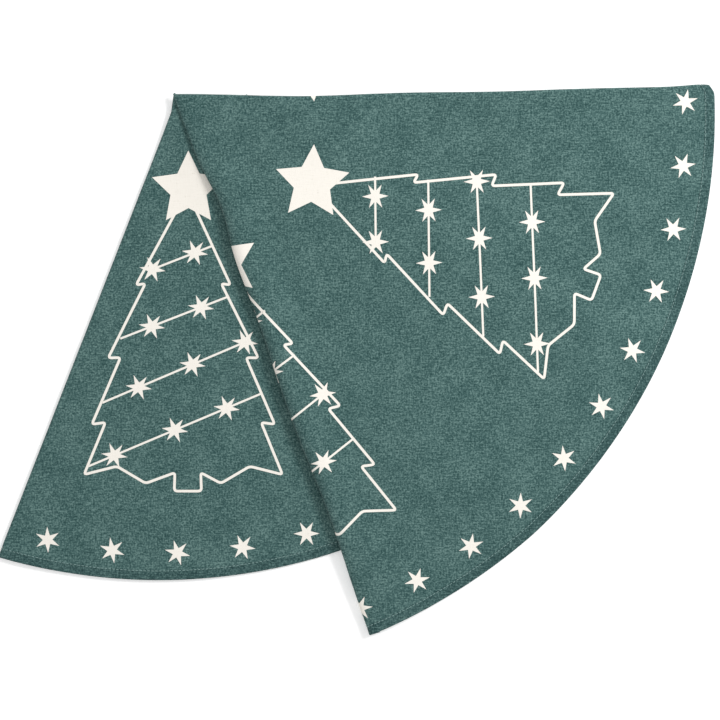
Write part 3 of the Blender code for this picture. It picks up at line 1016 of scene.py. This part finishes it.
# --- building the layers ---
class Layer:
    """One sheet of the folded skirt with the pieces sewn and printed on it."""

    def __init__(self, name, lay, outline, centre, visible, carry, folds=(), lift=0.0):
        size, faces = (GRAIN, [FACE, REVERSE]) if visible else (COARSE, [REVERSE, FACE])
        self.name = name
        self.lay = lay
        self.centre = centre
        self.carry = carry
        self.lift = lift
        # visible sheets' hems take the darker cloth with its painted shade
        self.finish = HEM_PAINTED_SHADE if visible else REVERSE
        self.pieces = []
        self.outline, _, _ = outline(PANEL_RADIUS)
        _, self.first, self.last = outline(RADIUS - 0.0005)
        self.sheet = patch(f"{name}_cloth", lay, [self.outline], size, 0.0, -CLOTH, faces)
        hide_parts(f"{name}_panel", *folds)
        carry(self.sheet)
        self.hem()

    def sew(self, piece, *nodes, slot=None):
        """Keep a piece that belongs to this sheet, standing for CAD nodes."""
        if nodes:
            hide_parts(*nodes)
        self.carry(piece)
        self.pieces.append(piece)

    def hem(self):
        start, end = bearings_between(self.centre, self.first, self.last)
        name = f"{self.name}_rim_hem"
        band = rim_hem(name, self.lay, self.centre, start, end, self.finish, self.lift)
        self.sew(band, f"{self.name}_hem")
        line = arc_points(self.centre, RADIUS - STITCH_INSET, start, end, 0.004)
        above = RIM_STITCH_RISE + self.lift
        row = stitches(f"{self.name}_rim_stitches", self.lay, line, above)
        self.sew(row, f"{self.name}_hem_thread")

    def slit_hem(self, hand, start, direction, inward, length):
        name = f"{self.name}_slit_hem"
        finish, lift = self.finish, self.lift
        band = straight_hem(name, self.lay, start, direction, inward, length, finish, lift)
        self.sew(band, f"{hand}_slit_hem")
        places = np.arange(GRAIN, length - GRAIN, GRAIN)
        line = start + inward * (SLIT_HEM - SLIT_STITCH_INSET) + np.outer(places, direction)
        above = SLIT_STITCH_RISE + self.lift
        row = stitches(f"{self.name}_slit_stitches", self.lay, line, above)
        self.sew(row, f"{hand}_slit_thread")

    def printed(self, lines, stars, tests, side=1.0):
        """Prints on the sheet's face, or with side=-1 on its under side."""
        ink = print_on(f"{self.name}_print", self.lay, lines, stars, tests, side)
        self.sew(ink, slot="print")


def with_front(piece):
    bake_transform(piece)


def with_left(piece):
    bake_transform(piece)


def riding(body):
    return lambda piece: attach(piece, body)


def strip(start, direction, inward, near, far, first, last):
    """Outline of a straight strip beside a line."""
    return np.array([
        start + direction * first + inward * near,
        start + direction * last + inward * near,
        start + direction * last + inward * far,
        start + direction * first + inward * far,
    ])


def tapes(layer, kind, start, direction, inward, low, finish):
    """Three pieces of touch tape along a slit, each laid on the sheet and kept with it."""
    length, width, thickness = TAPE
    near = SLIT_HEM + TAPE_GAP
    for number, middle in enumerate(TAPE_PLACES, 1):
        first, last = middle - length / 2, middle + length / 2
        outline = strip(start, direction, inward, near, near + width, first, last)
        name = f"{kind}_tape_{number}"
        piece = patch(f"{name}_pile", layer.lay, [outline], GRAIN, low + thickness, low, [finish])
        layer.sew(piece, name)


def trees(places, hand=1.0):
    """The printed shapes of several trees, each given by its star's place and its bearing."""
    lines, stars = [], []
    for place, bearing in places:
        more_lines, more_stars = tree(place, bearing, hand)
        lines += more_lines
        stars += more_stars
    return lines, stars


TOP_TREE = APEX + (0.1185, 0.0264)     # a tree whose star's point just shows at the top edge
TOP_TREE_BEARING = 26.6
PRINT_TURN = 0.7                  # share of the flap's turn that the print goes round


def under_top(point):
    """Where a place on the front's cloth, past the top fold, lies on the layer below."""
    inset = TOP_FOLD.inset(np.atleast_2d(point))[0]
    return point - TOP_FOLD.inward * (2 * inset + TOP_FOLD.length)


def make_front():
    folds = ("flap_fold", "top_fold")
    layer = Layer("front", FRONT, front_outline, FRONT_CENTRE, True, with_front, folds)
    lines, stars = trees((
        (APEX + (0.1218, -0.0780), -20.7),
        (APEX + (0.0436, -0.1495), -73.5),
        (TOP_TREE, TOP_TREE_BEARING),
    ))
    stars += rim_stars(FRONT_CENTRE, RIM_STAR_REACH, [1.47 - RIM_STAR_STEP * n for n in range(13)])
    layer.printed(lines, stars, [past(FLAP_FOLD, -PRINT_TURN * FLAP_FOLD.length)])


def make_left_front():
    folds = ("left_fold",)
    layer = Layer("left_front", LEFT, left_outline, LEFT_CENTRE, True, with_left, folds)
    lines, stars = tree(APEX + (0.0135, -0.0830), -90.0, lean=0.0046)
    stars += rim_stars(APEX + (-0.0071, 0.0610), 0.4623, [-88.65 + 7.09 * n for n in range(-3, 7)])
    before_pleat = side_of(PLEAT_START, PLEAT_ANGLE, GRAIN, -1.0)
    layer.printed(lines, stars, [before_pleat])


def make_pleat():
    carry, folds = riding("left_front"), ("pleat_fold",)
    layer = Layer("pleat", PLEAT, pleat_outline, PLEAT_CENTRE, False, carry, folds)
    ring = hole_arc(HOLE_RADIUS)
    spokes = ring - HOLE_CENTRE
    spokes /= np.hypot(*spokes.T)[:, None]
    inset, above = hem_section(HOLE_HEM)
    rings = ring[:, None, :] + inset[None, :, None] * spokes[:, None, :]
    layer.sew(tube_grid("centre_hem_band", PLEAT, rings, above, REVERSE), "centre_hem")
    line = ring + spokes * HOLE_HEM * HOLE_STITCH_SHARE
    row = stitches("centre_stitches", PLEAT, line, HOLE_STITCH_RISE)
    layer.sew(row, "centre_hem_thread")


def make_back_right():
    layer = Layer(
        "back_right", BACK_RIGHT, back_right_outline, BACK_RIGHT_CENTRE, False, riding("front")
    )
    direction = unit(SLIT_ANGLE)
    length = np.hypot(*(layer.first - SLIT_START)) - 0.001
    layer.slit_hem("right", SLIT_START, direction, SLIT_IN, length)
    low = -CLOTH - TAPE_RISE - TAPE[2]
    tapes(layer, "hook", SLIT_START, direction, SLIT_IN, low, HOOKS)
    near = SLIT_HEM + LABEL_GAP
    outline = strip(SLIT_START, direction, SLIT_IN, near, near + LABEL_WIDTH, *LABEL_ENDS)
    label = patch("care_label_blank", BACK_RIGHT, [outline], 0.003, 0.00045, 0.00015, [LABEL])
    layer.sew(label, "care_label")
    lines, stars = tree(under_top(TOP_TREE), 2 * TOP_ANGLE - TOP_TREE_BEARING, -1.0)
    bearings = [-2.4 - RIM_STAR_STEP * n for n in range(9)]
    stars += rim_stars(BACK_RIGHT_CENTRE, RIM_STAR_REACH, bearings, -1.0)
    clear_of_tape = side_of(SLIT_START, SLIT_ANGLE, TAPE_CLEARANCE)
    layer.printed(lines, stars, [clear_of_tape, past(TOP_FOLD, 0.0005)], -1.0)


def make_back_left():
    carry = riding("back_left")
    layer = Layer(
        "back_left", BACK, back_left_outline, BACK_CENTRE, False, carry, lift=BACK_HEM_LIFT
    )
    direction = unit(TOP_ANGLE)
    start = LEFT_SLIT + direction * (LEFT_START + 0.001)
    length = np.hypot(*(layer.last - start)) - 0.001
    layer.slit_hem("left", start, direction, TOP_IN, length)
    tapes(layer, "loop", LEFT_SLIT, direction, TOP_IN, TAPE_RISE, LOOPS)
    places = [(BACK_CENTRE + TREE_REACH * unit(b + TREE_OFFSET), b) for b in (-81.8, -30.4)]
    lines, stars = trees(places, -1.0)
    bearings = [-12.0 - RIM_STAR_STEP * n for n in range(14)]
    stars += rim_stars(BACK_CENTRE, RIM_STAR_REACH, bearings, -1.0)
    below_slit = side_of(LEFT_SLIT, TOP_ANGLE, TAPE_CLEARANCE, -1.0)
    layer.printed(lines, stars, [past(LEFT_FOLD, GRAIN), below_slit], -1.0)


# --- studio ---
CENTRE = APEX + (0.1635, -0.2325)      # middle of the view, as the photograph frames it
VIEW_WIDTH = 0.6294                    # what the camera sees across at the skirt
LENS = 100.0                           # millimetres
SENSOR = 36.0
FLOOR_REACH = 30.0                     # half the floor's side
FLOOR_GAP = 0.0003                     # from the floor up to the cloth
KEY_POWER = 34.0
FILL_POWER = 5.0
WORLD_STRENGTH = 0.62


def make_floor():
    mesh = bpy.data.meshes.new("studio_floor")
    square = ((-1, -1), (1, -1), (1, 1), (-1, 1))
    corners = [(x * FLOOR_REACH, y * FLOOR_REACH, -FLOOR_GAP) for x, y in square]
    mesh.from_pydata(corners, [], [(0, 1, 2, 3)])
    mesh.materials.append(floor_material())
    add_object("studio_floor", mesh)


def aim(thing, place, target):
    thing.location = place
    thing.rotation_euler = (Vector(target) - Vector(place)).to_track_quat("-Z", "Y").to_euler()


def make_light(name, place, size, power):
    data = bpy.data.lights.new(name, "AREA")
    data.shape = "DISK"
    data.size = size
    data.energy = power
    aim(add_object(name, data), place, (*CENTRE, 0.0))


def make_studio():
    make_floor()
    make_light("key_light", (1.5, 0.9, 1.35), 0.7, KEY_POWER)
    make_light("fill_light", (-0.6, -0.5, 2.2), 1.6, FILL_POWER)
    world = bpy.data.worlds.new("studio")
    bpy.context.scene.world = world
    world.use_nodes = True
    world.node_tree.nodes["Background"].inputs["Color"].default_value = (1.0, 1.0, 1.0, 1.0)
    world.node_tree.nodes["Background"].inputs["Strength"].default_value = WORLD_STRENGTH
    bpy.context.scene.view_settings.view_transform = "Standard"


def make_camera():
    data = bpy.data.cameras.new("camera")
    data.lens = LENS
    data.sensor_width = SENSOR
    camera = add_object("camera", data)
    camera.location = (*CENTRE, FRONT_TOP / 2 + VIEW_WIDTH * LENS / SENSOR)
    bpy.context.scene.camera = camera


make_camera()
make_studio()
make_back_left()
make_left_front()
make_pleat()
make_back_right()
make_front()

bpy.context.view_layer.update()
